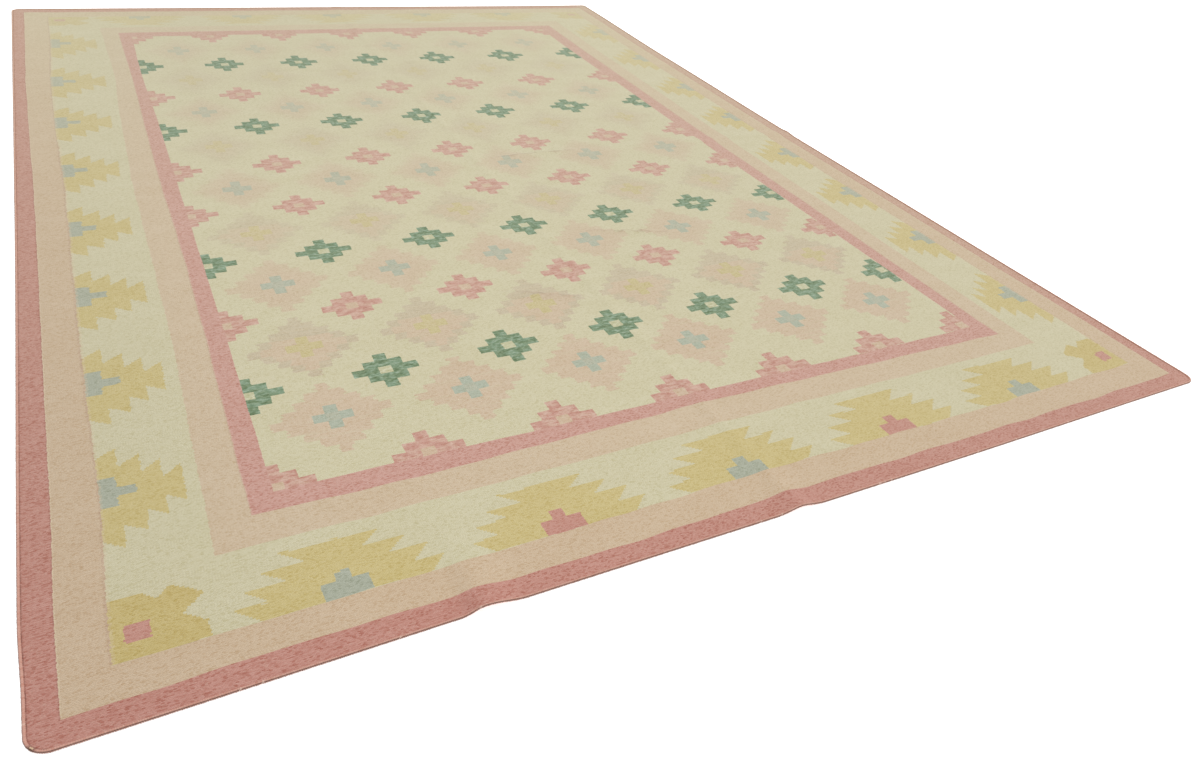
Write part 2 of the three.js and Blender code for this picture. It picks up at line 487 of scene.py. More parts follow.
def makeCloth():
    across = gridLines(clothHalfWidth, 0)
    along = gridLines(clothHalfLength, 1)
    piece, columns, rows = addGrid("woven_cloth", len(across) - 1, len(along) - 1)
    flatX, flatY = roundCorners(across[columns], along[rows])
    setPoints(piece.data, np.stack([flatX, flatY, np.zeros_like(flatX)], axis=1))
    thickness = piece.modifiers.new("thickness", "SOLIDIFY")
    thickness.thickness = rug["clothThick"]
    thickness.offset = 1
    thickness.use_even_offset = False
    applyModifiers(piece)
    chartCloth(piece.data)
    mapCloth(piece.data)
    x, y, z = getPoints(piece.data).T
    inside = np.minimum(clothHalfWidth - np.abs(x), clothHalfLength - np.abs(y))
    cockle = cloth["cockle"] * softWaves(x, y, cloth["cockleSize"]) * ramp(inside, 0, cloth["cockleRim"])
    setPoints(piece.data, lay(x, y, z + cockle))
    bpy.ops.object.shade_smooth_by_angle(angle=math.radians(cloth["smoothAngle"]))
    print("cloth:", len(across) - 1, "by", len(along) - 1, "cells")
    return piece


# The whipped edge: yarn wound round the cloth's edge, every turn its own small swell
edge = {
    "turn": 0.0032,
    "sides": 10,
    "swell": 0.00055,
    "lean": 0.8,
    "unevenTurn": 0.00022,
    "lessShadeAway": 0.55,
    "joinPlace": (-1.3385, -1.8325),
    "joinSize": 0.0075,
    "mergeWithin": 0.00002,
    "seed": 7,
}


# stations round the cloth's outline, anticlockwise: the foot on the cloth and the way out from it
def outlineStations(step):
    corners = (
        (-1, -1, rug["nearLeftRadius"]),
        (1, -1, rug["nearRightRadius"]),
        (1, 1, rug["farRightRadius"]),
        (-1, 1, rug["farLeftRadius"]),
    )
    middles = [np.array([signX * (clothHalfWidth - radius), signY * (clothHalfLength - radius)])
               for signX, signY, radius in corners]
    quarter = math.pi / 2
    feet, ways = [], []
    for number, middle in enumerate(middles):
        after = (number + 1) % len(corners)
        radius, nextRadius = corners[number][2], corners[after][2]
        startAngle = math.pi + number * quarter
        turnCount = round((radius + rug["edgeWide"] / 2) * quarter / step)
        for share in np.arange(turnCount) / turnCount:
            angle = startAngle + share * quarter
            way = np.array([math.cos(angle), math.sin(angle)])
            feet.append(middle + way * radius)
            ways.append(way)
        way = np.array([math.cos(startAngle + quarter), math.sin(startAngle + quarter)])
        start, end = middle + way * radius, middles[after] + way * nextRadius
        runCount = round(np.linalg.norm(end - start) / step)
        for share in np.arange(runCount) / runCount:
            feet.append(start + (end - start) * share)
            ways.append(way)
    return np.array(feet), np.array(ways)


def makeEdge():
    feet, ways = outlineStations(edge["turn"] / 2)
    if len(feet) % 2:
        feet, ways = feet[:-1], ways[:-1]
    count, sides = len(feet), edge["sides"]
    piece, stations, rows = addGrid("whipped_edge", count, sides)
    stations, rows = stations % count, rows % sides
    foot, way = feet[stations], ways[stations]
    angle = (rows + 0.5) / sides * 2 * math.pi
    ahead = np.roll(feet, -1, axis=0) - feet
    pace = ahead / np.maximum(np.linalg.norm(ahead, axis=1, keepdims=True), 1e-9)
    # a turn leans along the edge, so its swell comes later over the top than below
    lean = edge["lean"] * edge["turn"] * np.sin(angle)
    uneven = np.random.default_rng(edge["seed"]).uniform(-1, 1, count // 2)[stations // 2]
    swell = np.where(stations % 2 == 0, edge["swell"], 0) + edge["unevenTurn"] * uneven
    halfWide = rug["edgeWide"] / 2 - edge["swell"] + swell
    halfTall = rug["edgeTall"] / 2 - edge["swell"] + swell
    out = rug["edgeWide"] / 2 - rug["edgeBite"] + np.cos(angle) * halfWide
    lift = np.maximum(rug["edgeTall"] / 2 + np.sin(angle) * halfTall, 0)
    x, y = (foot + way * out[:, None] + pace[stations] * lean[:, None]).T
    fromJoin = np.linalg.norm(foot - np.array(edge["joinPlace"]), axis=1)
    addAttribute(piece.data, "wound", (stations / 2, rows / sides, ramp(fromJoin, edge["joinSize"], 0)))
    # painted sheen, as on the cloth and a little more
    paintedSheen = paintedSheenAt(x / rug["width"] + 0.5, y / rug["length"] + 0.5) + paintedLightAndWear["paintedSheenEdge"]
    # painted shade at the foot of the edge, weaker on the sides that face away from the near end
    awayFromNear = np.clip(way.max(axis=1), 0, 1)
    addAttribute(piece.data, "paintedSheenAndShade", (paintedSheen, 1 - edge["lessShadeAway"] * awayFromNear))
    setPoints(piece.data, lay(x, y, lift))
    bpy.ops.object.mode_set(mode="EDIT")
    bpy.ops.mesh.select_all(action="SELECT")
    bpy.ops.mesh.remove_doubles(threshold=edge["mergeWithin"])
    bpy.ops.mesh.normals_make_consistent(inside=False)
    bpy.ops.object.mode_set(mode="OBJECT")
    bpy.ops.object.shade_smooth()
    print("edge:", count // 2, "turns of yarn")
    return piece


# Node helpers: every value may be a number, a colour or another node's socket
def feed(tree, socket, value):
    if isinstance(value, bpy.types.NodeSocket):
        tree.links.new(value, socket)
    else:
        socket.default_value = value


def addNode(tree, kind, **settings):
    node = tree.nodes.new(kind)
    for name, value in settings.items():
        setattr(node, name, value)
    return node


def maths(operation, tree, *values):
    node = addNode(tree, "ShaderNodeMath", operation=operation)
    for socket, value in zip(node.inputs, values):
        feed(tree, socket, value)
    return node.outputs[0]


plus = partial(maths, "ADD")
minus = partial(maths, "SUBTRACT")
times = partial(maths, "MULTIPLY")
timesPlus = partial(maths, "MULTIPLY_ADD")
divided = partial(maths, "DIVIDE")
remainder = partial(maths, "MODULO")
power = partial(maths, "POWER")
sine = partial(maths, "SINE")
isBelow = partial(maths, "LESS_THAN")
isAbove = partial(maths, "GREATER_THAN")
isWithin = partial(maths, "COMPARE")
smaller = partial(maths, "MINIMUM")
larger = partial(maths, "MAXIMUM")
distance = partial(maths, "ABSOLUTE")
roundOff = partial(maths, "ROUND")
roundDown = partial(maths, "FLOOR")
fraction = partial(maths, "FRACT")


def limited(tree, value, low=0.0, high=1.0):
    return smaller(tree, larger(tree, value, low), high)


# the nearest whole count that the chart has
def nearest(tree, count, name):
    return limited(tree, roundOff(tree, count), 0.0, len(chart[name][0]) - 1)


def smoothStep(tree, value, start, end, top=1.0):
    node = addNode(tree, "ShaderNodeMapRange", interpolation_type="SMOOTHSTEP")
    feed(tree, node.inputs["Value"], value)
    for name, amount in (("From Min", start), ("From Max", end), ("To Min", 0.0), ("To Max", top)):
        node.inputs[name].default_value = amount
    return node.outputs["Result"]


def mixColours(tree, share, first, second):
    node = addNode(tree, "ShaderNodeMix", data_type="RGBA")
    for socket, value in ((node.inputs[0], share), (node.inputs[6], first), (node.inputs[7], second)):
        feed(tree, socket, value)
    return node.outputs[2]


def joinXyz(tree, x, y, z=0.0):
    node = addNode(tree, "ShaderNodeCombineXYZ")
    for socket, value in zip(node.inputs, (x, y, z)):
        feed(tree, socket, value)
    return node.outputs[0]


# a mesh attribute's values, by the names given
def readAttribute(tree, name, parts):
    node = addNode(tree, "ShaderNodeSeparateXYZ")
    feed(tree, node.inputs[0], addNode(tree, "ShaderNodeAttribute", attribute_name=name).outputs["Vector"])
    return dict(zip(parts, node.outputs))


def whiteNoise(tree, x, y, z=0.0):
    node = addNode(tree, "ShaderNodeTexWhiteNoise", noise_dimensions="3D")
    feed(tree, node.inputs["Vector"], joinXyz(tree, x, y, z))
    return node.outputs["Value"]


# Noises: their steps to the unit along and across, a seed, the detail and the roughness
noises = {
    "beat": (11.0, 11.0, 0.0, 1.0, 0.5),
    "crease wander": (22.0, 22.0, 19.0, 2.0, 0.5),
    "crease patches": (30.0, 1.0, 0.0, 1.0, 0.5),
    "dashes": (55.0, 480.0, 0.0, 1.0, 0.55),
    "mottle": (75.0, 150.0, 12.0, 2.0, 0.55),
    "patches": (6.0, 20.0, 3.0, 3.0, 0.55),
    "strokes": (80.0, 540.0, 6.0, 1.0, 0.55),
    "streaks": (9.0, 120.0, 7.0, 2.0, 0.5),
    "blotches": (16.0, 34.0, 17.0, 3.0, 0.6),
    "yarn lots": (40.0, 85.0, 13.0, 2.0, 0.5),
    "groove shade": (70.0, 70.0, 11.0, 2.0, 0.7),
    "strands": (6.0, 5.0, 0.0, 2.0, 0.5),
}
# fixed coordinates that keep noises at the same place apart
seeds = {"tooth": 1.0, "turn": 2.0, "bead": 4.0, "rowStart": 5.0, "fibre": 9.0, "creasePatches": 21.0}


def softNoise(tree, name, along, across):
    alongScale, acrossScale, seed, detail, roughness = noises[name]
    node = addNode(tree, "ShaderNodeTexNoise", noise_dimensions="3D")
    place = joinXyz(tree, times(tree, along, alongScale), times(tree, across, acrossScale), seed)
    feed(tree, node.inputs["Vector"], place)
    for socket, value in (("Scale", 1.0), ("Detail", detail), ("Roughness", roughness)):
        node.inputs[socket].default_value = value
    return node.outputs["Fac"]


def useGroup(tree, name, **values):
    node = addNode(tree, "ShaderNodeGroup", node_tree=groups[name])
    for label, value in values.items():
        feed(tree, node.inputs[label], value)
    return node.outputs


def newGroup(name, inputs, outputs):
    group = bpy.data.node_groups.new(name, "ShaderNodeTree")
    for labels, way in ((inputs, "INPUT"), (outputs, "OUTPUT")):
        for label in labels:
            kind = "NodeSocketColor" if label == "Color" else "NodeSocketFloat"
            group.interface.new_socket(name=label, in_out=way, socket_type=kind)
    return group, addNode(group, "NodeGroupInput").outputs, addNode(group, "NodeGroupOutput").inputs


# sRGB tones of 0 to 255, as Blender's own linear colour
def tone(red, green, blue):
    linear = []
    for value in (red / 255, green / 255, blue / 255):
        linear.append(value / 12.92 if value <= 0.04045 else ((value + 0.055) / 1.055) ** 2.4)
    return (*linear, 1.0)


# Stepped diamond: how many cells out from its middle a point is, counted in steps
def steppedDiamond():
    group, entry, result = newGroup("stepped diamond", ("Across", "Along"), ("Steps",))
    cells = [distance(group, roundOff(group, entry[side])) for side in ("Across", "Along")]
    feed(group, result["Steps"], plus(group, *cells))
    return group


# Flared medallion: tiers that each widen towards their tips, with a stepped block at the foot.
# Widths are shares of the pitch between medallions, and depths are shares of its own.
medallionTiers = (0.0, 0.27, 0.53, 0.76, 1.0)
medallionShapes = {
    "end": {"Body Shift": 0.0, "Tip 1": 0.440, "Tip 2": 0.392, "Tip 3": 0.312, "Tip 4": 0.218, "Flare": 0.095,
            "Block Half": 0.100, "Block Depth": 0.28, "Peak Half": 0.033, "Peak Depth": 0.44},
    "side": {"Body Shift": 0.038, "Tip 1": 0.392, "Tip 2": 0.307, "Tip 3": 0.226, "Tip 4": 0.148,
             "Flare": 0.075, "Block Half": 0.120, "Block Depth": 0.224,
             "Peak Half": 0.034, "Peak Depth": 0.447},
}


def flaredMedallion():
    inputs = ("Along", "Depth", *medallionShapes["end"])
    group, entry, result = newGroup("flared medallion", inputs, ("Body", "Block"))
    away = distance(group, entry["Along"])
    bodyAway = distance(group, plus(group, entry["Along"], entry["Body Shift"]))
    body = 0.0
    for number, (start, end) in enumerate(zip(medallionTiers, medallionTiers[1:]), 1):
        share = divided(group, minus(group, entry["Depth"], start), end - start)
        inTier = times(group, isAbove(group, share, 0.0), isBelow(group, share, 1.0))
        drawnIn = times(group, minus(group, 1.0, share), entry["Flare"])
        half = minus(group, entry[f"Tip {number}"], drawnIn)
        body = plus(group, body, times(group, inTier, isBelow(group, bodyAway, half)))
    feed(group, result["Body"], smaller(group, body, 1.0))
    above = isAbove(group, entry["Depth"], 0.0)
    parts = []
    for part in ("Block", "Peak"):
        low = isBelow(group, entry["Depth"], entry[part + " Depth"])
        parts.append(times(group, low, isBelow(group, away, entry[part + " Half"])))
    feed(group, result["Block"], times(group, above, larger(group, *parts)))
    return group


# Corner block: a square with a notch in each inner side and its inner corner cut off.
# A notch has its tip's depth, its place along the side and how fast it opens.
cornerShape = {
    "width": 1.0,
    "length": 0.955,
    "sideNotch": (0.757, 0.47, 1.15),
    "endNotch": (0.80, 0.52, 1.07),
    "cutAcross": 0.57,
    "cutAlong": 0.82,
    "cutAt": 1.172,
    "squareMiddle": (0.29, 0.386),
    "squareHalf": 0.13,
}


def cornerBlock():
    group, entry, result = newGroup("corner block", ("Across", "Along"), ("Body", "Square"))
    across, along = entry["Across"], entry["Along"]
    tests = []
    for value, other, limit, (tip, middle, slope) in (
            (across, along, cornerShape["width"], cornerShape["sideNotch"]),
            (along, across, cornerShape["length"], cornerShape["endNotch"])):
        aside = distance(group, minus(group, other, middle))
        tests += [isAbove(group, value, 0.0), isBelow(group, value, limit),
                  isBelow(group, value, timesPlus(group, aside, slope, tip))]
    slant = plus(group, times(group, across, cornerShape["cutAcross"]),
                 times(group, along, cornerShape["cutAlong"]))
    tests.append(isBelow(group, slant, cornerShape["cutAt"]))
    feed(group, result["Body"], reduce(partial(times, group), tests))
    square = [isWithin(group, value, middle, cornerShape["squareHalf"])
              for value, middle in zip((across, along), cornerShape["squareMiddle"])]
    feed(group, result["Square"], times(group, *square))
    return group


# Weave: rounded floats of weft over the warp, every other row set half a float over.
# The weft is beaten down unevenly, and a few rows make one pass of the bobbin.
weave = {
    "weft": 0.0022,
    "warp": 0.0046,
    "pass": 0.0045,
    "beaten": 0.004,
    "rowStart": 0.4,
    "archPower": 0.6,
}


def weaveRelief():
    group, entry, result = newGroup("weave relief", ("Across", "Along", "Weft", "Warp"), ("Height", "Grain"))
    beaten = softNoise(group, "beat", entry["Across"], entry["Along"])
    rows = divided(group, timesPlus(group, beaten, weave["beaten"], entry["Along"]), entry["Weft"])
    row = roundDown(group, rows)
    # each row starts its floats at its own place
    halfOver = times(group, remainder(group, row, 2.0), 0.5)
    shifted = timesPlus(group, whiteNoise(group, row, seeds["rowStart"]), weave["rowStart"], halfOver)
    floats = plus(group, divided(group, entry["Across"], entry["Warp"]), shifted)
    tops = []
    for place in (rows, floats):
        arch = sine(group, times(group, fraction(group, place), math.pi))
        tops.append(power(group, larger(group, arch, 0.0), weave["archPower"]))
    feed(group, result["Height"], times(group, *tops))
    feed(group, result["Grain"], whiteNoise(group, roundDown(group, floats), row))
    return group


# Crease line: a thin soft line from one point of the rug to another, a little unsteady and patchy
creaseLook = {
    "wander": 0.05,
    "patchSlope": 4.0,
    "patchFloor": -1.2,
    "faintest": 0.15,
    "tone": tone(150, 112, 92),
}


def creaseLine():
    inputs = ("Across", "Along", "Start Across", "Start Along", "Way Across", "Way Along",
              "Length", "Half Width")
    group, entry, result = newGroup("crease line", inputs, ("Line",))
    across = minus(group, entry["Across"], entry["Start Across"])
    along = minus(group, entry["Along"], entry["Start Along"])
    run = timesPlus(group, across, entry["Way Across"], times(group, along, entry["Way Along"]))
    run = limited(group, divided(group, run, entry["Length"]))
    off = minus(group, times(group, across, entry["Way Along"]), times(group, along, entry["Way Across"]))
    unsteady = softNoise(group, "crease wander", entry["Across"], entry["Along"])
    off = plus(group, off, timesPlus(group, unsteady, creaseLook["wander"], -creaseLook["wander"] / 2))
    away = divided(group, distance(group, off), entry["Half Width"])
    beside = larger(group, minus(group, 1.0, away), 0.0)
    ends = sine(group, times(group, run, math.pi))
    patchy = softNoise(group, "crease patches", entry["Across"], seeds["creasePatches"])
    patchy = timesPlus(group, patchy, creaseLook["patchSlope"], creaseLook["patchFloor"])
    strength = times(group, ends, larger(group, patchy, creaseLook["faintest"]))
    feed(group, result["Line"], times(group, beside, strength))
    return group


# Heather: uneven dye, as a few deep floats, dashes along the yarn, slow patches and thin dark strokes.
# The dye's strength goes into the tone as a power, so that it shows more in a deep colour.
heatherLook = {
    "floatPower": 4.0,
    "floatShift": -0.2,
    "strokeFrom": 0.57,
    "strokeTo": 0.72,
    "fibresAlong": 260.0,
    "fibresAcross": 500.0,
    "darkFibres": 0.94,
    "paleFibre": tone(222, 208, 184),
}


def heatherYarn():
    inputs = ("Color", "Along Yarn", "Across Yarn", "Grain", "Grains", "Dashes", "Mottle", "Patches",
              "Strokes", "Pale Fibres")
    group, entry, result = newGroup("heather yarn", inputs, ("Color",))
    along, across = entry["Along Yarn"], entry["Across Yarn"]
    deepFloats = power(group, entry["Grain"], heatherLook["floatPower"])
    deepFloats = plus(group, deepFloats, heatherLook["floatShift"])
    strength = timesPlus(group, deepFloats, entry["Grains"], 1.0)
    for amount in ("Dashes", "Mottle", "Patches"):
        centred = timesPlus(group, softNoise(group, amount.lower(), along, across), 2.0, -1.0)
        strength = timesPlus(group, centred, entry[amount], strength)
    thin = smoothStep(group, softNoise(group, "strokes", along, across),
                      heatherLook["strokeFrom"], heatherLook["strokeTo"])
    strength = timesPlus(group, thin, entry["Strokes"], strength)
    dyed = addNode(group, "ShaderNodeGamma")
    feed(group, dyed.inputs["Color"], entry["Color"])
    feed(group, dyed.inputs["Gamma"], strength)
    fibre = whiteNoise(group, roundDown(group, times(group, along, heatherLook["fibresAlong"])),
                       roundDown(group, times(group, across, heatherLook["fibresAcross"])), seeds["fibre"])
    pale = times(group, isAbove(group, fibre, heatherLook["darkFibres"]), entry["Pale Fibres"])
    feed(group, result["Color"], mixColours(group, pale, dyed.outputs[0], heatherLook["paleFibre"]))
    return group


# Yarns of the cloth
yarns = {
    "cream": tone(206, 199, 166),
    "paleGround": tone(207, 200, 167),
    "peach": tone(204, 180, 151),
    "innerPeach": tone(206, 185, 157),
    "rose": tone(192, 136, 123),
    "innerRose": tone(200, 151, 139),
    "crossRose": tone(195, 144, 130),
    "crossPink": tone(207, 170, 153),
    "green": tone(112, 135, 101),
    "blueGreen": tone(134, 158, 131),
    "yellow": tone(202, 185, 127),
    "cornerYellow": tone(199, 180, 119),
    "blue": tone(168, 173, 155),
    "blockRose": tone(195, 141, 128),
    "blushPink": tone(206, 184, 158),
    "greyMauve": tone(192, 182, 156),
    "wornBeige": tone(201, 191, 161),
    "paleBlue": tone(171, 179, 161),
    "paleYellow": tone(200, 186, 137),
    "holeInRose": tone(206, 181, 155),
    "holeInGreen": tone(197, 195, 160),
    "warpLine": tone(214, 196, 166),
    "darkLine": tone(150, 104, 95),
}

# The pattern. Cells are shares of a chart count, reaches are counts, pitches are a count's metres,
# and the limits of steps say how far out from a motif's middle each of its parts goes.
pattern = {
    "crossCellAcross": 0.100,
    "crossCellAlong": 0.0903,
    "paleCellAcross": 0.091,
    "paleCellAlong": 0.0993,
    "crossSteps": 2.5,
    "holeSteps": 0.5,
    "diamondSteps": 4.5,
    "diamondRimSteps": 3.5,
    "plusSteps": 1.5,
    "heartSteps": 0.5,
    "upperPart": 0.14,
    "countPitch": 0.30,
    "bandPitch": 0.07,
    "creamBand": 0.168,
    "borderFrom": 2.0,
    "endReach": 0.80,
    "sideReach": 0.83,
    "sidePitch": 0.38,
    "cornerReach": 0.80,
    "toothDepth": 0.0016,
    "plusTooth": 2.0,
    "endTooth": 2.4,
    "featherDepth": 0.009,
    "featherRow": 0.0055,
    "joinLine": 0.015,
    "joinAside": 0.017,
    "darkJoin": 0.5,
    # beaded joins, by the count of the band's edge
    "joins": ((1.0, 1.0), (2.0, 0.5), (4.0, 0.5)),
    "bead": (0.5, 0.35),
}

# How the cloth's yarns are worn and uneven. Pairs are a slope and a start, or a start and an end
# for those that come in smoothly. Grains, dashes and strokes are more in rose, and less elsewhere.
clothLook = {
    "finish": {"Roughness": 0.95, "Specular IOR Level": 0.15, "Sheen Weight": 0.2, "Sheen Roughness": 0.5},
    "bump": (0.6, 0.0006),
    "worn": (1.3, 0.35),
    "grey": (0.9, 0.15),
    "beige": (0.45, 0.45),
    "heart": 0.3,
    "blotchDepth": 3.4,
    "blotchFade": (7.6, 3.6),
    "plusWorn": -0.6,
    "lots": (0.38, 0.62),
    "plusFadeProof": 0.8,
    "crossHeld": -0.3,
    "greenHeld": -0.45,
    "grains": (0.15, 0.30),
    "dashes": (0.10, 0.10),
    "strokes": (0.06, 0.18),
    "greenMottle": 0.40,
    "crossMottle": 0.25,
    "patches": 0.09,
    "paleFibres": 0.09,
    "groove": (0.0030, 0.0012, 0.7),
    "grooveShade": (2.4, -0.6),
    "grooveLeft": 0.03,
    "grooveShadeTone": tone(112, 70, 58),
    "paintedHollowShade": (0.18, 0.85),
    "hollowShadeTone": tone(70, 55, 45),
}


# a material with a finish set on its shader
def newMaterial(name, finish):
    material = bpy.data.materials.new(name)
    material.use_nodes = True
    shader = material.node_tree.nodes["Principled BSDF"]
    for label, value in finish.items():
        shader.inputs[label].default_value = value
    return material, material.node_tree, shader


def addBump(tree, shader, height, strength, depth):
    bump = addNode(tree, "ShaderNodeBump")
    bump.inputs["Strength"].default_value = strength
    bump.inputs["Distance"].default_value = depth
    feed(tree, bump.inputs["Height"], height)
    feed(tree, shader.inputs["Normal"], bump.outputs[0])


# what the chart says at each point, and where every pass of the weft ends a little before or after
# the one below it
def readChart(tree):
    at = {}
    for name, parts in chartAttributes.items():
        at.update(readAttribute(tree, name, parts))
    at["pass"] = roundDown(tree, divided(tree, at["fromNear"], weave["pass"]))
    passMiddle = times(tree, plus(tree, at["pass"], 0.5), weave["pass"])
    at["overrun"] = minus(tree, at["fromNear"], passMiddle)
    tooth = minus(tree, whiteNoise(tree, at["pass"], seeds["tooth"]), 0.5)
    at["tooth"] = times(tree, tooth, pattern["toothDepth"])
    at["columnToothed"] = timesPlus(tree, at["tooth"], 1 / pattern["countPitch"], at["column"])
    at["xBandToothed"] = timesPlus(tree, at["tooth"], 1 / pattern["bandPitch"], at["xBand"])
    return at


def stepsOut(tree, across, along, cell):
    return useGroup(tree, "diamond", Across=divided(tree, across, pattern[cell + "Across"]),
                    Along=divided(tree, along, pattern[cell + "Along"]))["Steps"]


# small crosses on whole counts, each woven from yarn of two close tones
def smallCrosses(tree, at):
    across = minus(tree, at["columnToothed"], roundOff(tree, at["columnToothed"]))
    along = minus(tree, at["row"], roundOff(tree, at["row"]))
    steps = stepsOut(tree, across, along, "crossCell")
    lot = smoothStep(tree, softNoise(tree, "yarn lots", at["fromLeft"], at["fromNear"]), *clothLook["lots"])
    rose = mixColours(tree, lot, yarns["crossRose"], yarns["crossPink"])
    green = mixColours(tree, lot, yarns["green"], yarns["blueGreen"])
    hole = mixColours(tree, at["green"], yarns["holeInRose"], yarns["holeInGreen"])
    colour = mixColours(tree, isBelow(tree, steps, pattern["holeSteps"]),
                        mixColours(tree, at["green"], rose, green), hole)
    return isBelow(tree, steps, pattern["crossSteps"]), colour


# Pale diamonds on whole counts of their own, with feathered ends to every few passes and a plus in
# the middle. A worn one has lost its steps, and fades out from its middle in blotches.
def paleDiamonds(tree, at):
    featherRow = roundDown(tree, divided(tree, at["fromNear"], pattern["featherRow"]))
    sideOfMotif = roundDown(tree, times(tree, at["paleColumn"], 2.0))
    feather = minus(tree, whiteNoise(tree, featherRow, sideOfMotif), 0.5)
    feather = times(tree, feather, pattern["featherDepth"] / pattern["countPitch"])
    nearestRow = nearest(tree, at["paleRow"], "paleRows")
    across = minus(tree, at["paleColumn"], nearest(tree, at["paleColumn"], "paleColumns"))
    along = minus(tree, at["paleRow"], nearestRow)
    steps = stepsOut(tree, plus(tree, across, feather), along, "paleCell")
    plusAcross = timesPlus(tree, at["tooth"], pattern["plusTooth"], across)
    plusSteps = stepsOut(tree, plusAcross, along, "paleCell")
    yellowKind = remainder(tree, nearestRow, 2.0)

    # the yellow kind is greyer at its rim and in its upper part
    streak = softNoise(tree, "streaks", at["fromLeft"], at["fromNear"])
    greyer = larger(tree, isAbove(tree, steps, pattern["diamondRimSteps"]),
                    isAbove(tree, along, pattern["upperPart"]))
    grey = smaller(tree, times(tree, greyer, timesPlus(tree, streak, *clothLook["grey"])), 1.0)
    yellowBody = mixColours(tree, grey, yarns["blushPink"], yarns["greyMauve"])
    body = mixColours(tree, yellowKind, yarns["blushPink"], yellowBody)
    beige = times(tree, at["blurred"], timesPlus(tree, yellowKind, *clothLook["beige"]))
    body = mixColours(tree, beige, body, yarns["wornBeige"])
    heart = times(tree, streak, clothLook["heart"])
    heart = times(tree, isBelow(tree, plusSteps, pattern["heartSteps"]), heart)
    plusColour = mixColours(tree, yellowKind, yarns["paleBlue"], yarns["paleYellow"])
    plusColour = mixColours(tree, heart, plusColour, body)

    blotch = softNoise(tree, "blotches", at["fromLeft"], at["fromNear"])
    cellsOut = [distance(tree, divided(tree, way, pattern[cell]))
                for way, cell in ((across, "paleCellAcross"), (along, "paleCellAlong"))]
    softBody = smoothStep(tree, timesPlus(tree, blotch, clothLook["blotchDepth"], plus(tree, *cellsOut)),
                          *clothLook["blotchFade"])
    worn = smaller(tree, timesPlus(tree, streak, *clothLook["worn"]), 1.0)
    stepped = times(tree, isBelow(tree, steps, pattern["diamondSteps"]), worn)
    bodyShare = plus(tree, times(tree, stepped, minus(tree, 1.0, at["blurred"])),
                     times(tree, softBody, at["blurred"]))
    colour = mixColours(tree, bodyShare, yarns["paleGround"], body)
    plusShare = timesPlus(tree, times(tree, blotch, at["blurred"]), clothLook["plusWorn"], 1.0)
    plusShare = times(tree, isBelow(tree, plusSteps, pattern["plusSteps"]), plusShare)
    return plusShare, mixColours(tree, plusShare, colour, plusColour)


# the border's half medallions and corner blocks, stepped by the passes of the weft
def creamBorder(tree, at):
    yBandStepped = timesPlus(tree, times(tree, at["overrun"], at["towardFar"]),
                             -1 / pattern["creamBand"], at["yBand"])

    def intoBorder(band, reach):
        return divided(tree, minus(tree, band, pattern["borderFrom"]), pattern[reach])

    nearestEnd = nearest(tree, at["endCount"], "endMedallions")
    endAlong = timesPlus(tree, at["tooth"], pattern["endTooth"], minus(tree, at["endCount"], nearestEnd))
    ends = useGroup(tree, "medallion", Along=endAlong, Depth=intoBorder(yBandStepped, "endReach"),
                    **medallionShapes["end"])
    sideStepped = timesPlus(tree, at["overrun"], -1 / pattern["sidePitch"], at["sideCount"])
    sideAlong = minus(tree, sideStepped, nearest(tree, at["sideCount"], "sideMedallions"))
    sides = useGroup(tree, "medallion", Along=sideAlong, Depth=intoBorder(at["xBandToothed"], "sideReach"),
                     **medallionShapes["side"])
    corners = useGroup(tree, "corner", Across=intoBorder(at["xBandToothed"], "cornerReach"),
                       Along=intoBorder(yBandStepped, "cornerReach"))
    # at the near end the blocks are blue and rose by turns
    roseTurn = times(tree, remainder(tree, nearestEnd, 2.0), isAbove(tree, at["towardFar"], 0.0))
    endBlock = mixColours(tree, roseTurn, yarns["blue"], yarns["blockRose"])
    inYellow = larger(tree, larger(tree, ends["Body"], sides["Body"]), corners["Body"])
    colour = yarns["cream"]
    for share, over in ((inYellow, yarns["yellow"]), (corners["Body"], yarns["cornerYellow"]),
                        (ends["Block"], endBlock), (sides["Block"], yarns["blue"]),
                        (corners["Square"], yarns["blockRose"])):
        colour = mixColours(tree, share, colour, over)
    return colour


# the field and the bands round it, each a little faded in its own way
def wovenBands(tree, at):
    inCross, crossColour = smallCrosses(tree, at)
    plusShare, colour = paleDiamonds(tree, at)
    colour = mixColours(tree, inCross, colour, crossColour)
    at["depth"] = smaller(tree, at["xBandToothed"], at["yBand"])
    at["shownCross"] = times(tree, inCross, isAbove(tree, at["depth"], 5.0))
    at["shownGreen"] = times(tree, at["shownCross"], at["green"])
    fadeProof = larger(tree, at["shownCross"], times(tree, plusShare, clothLook["plusFadeProof"]))
    colour = mixColours(tree, times(tree, at["faded"], minus(tree, 1.0, fadeProof)),
                        colour, yarns["paleGround"])
    innerPeach, border, peach = (
        mixColours(tree, at["faded"], yarn, yarns["paleGround"])
        for yarn in (yarns["innerPeach"], creamBorder(tree, at), yarns["peach"]))
    bands = ((5.0, yarns["innerRose"]), (4.0, innerPeach), (3.0, border), (2.0, peach), (1.0, yarns["rose"]))
    for limit, band in bands:
        colour = mixColours(tree, isBelow(tree, at["depth"], limit), colour, band)
    # painted sheen pales the colours, the crosses less than the other motifs, and the green ones least
    held = timesPlus(tree, at["shownCross"], clothLook["crossHeld"], 1.0)
    held = timesPlus(tree, at["shownGreen"], clothLook["greenHeld"], held)
    return mixColours(tree, times(tree, at["paintedSheen"], held), colour, yarns["paleGround"])


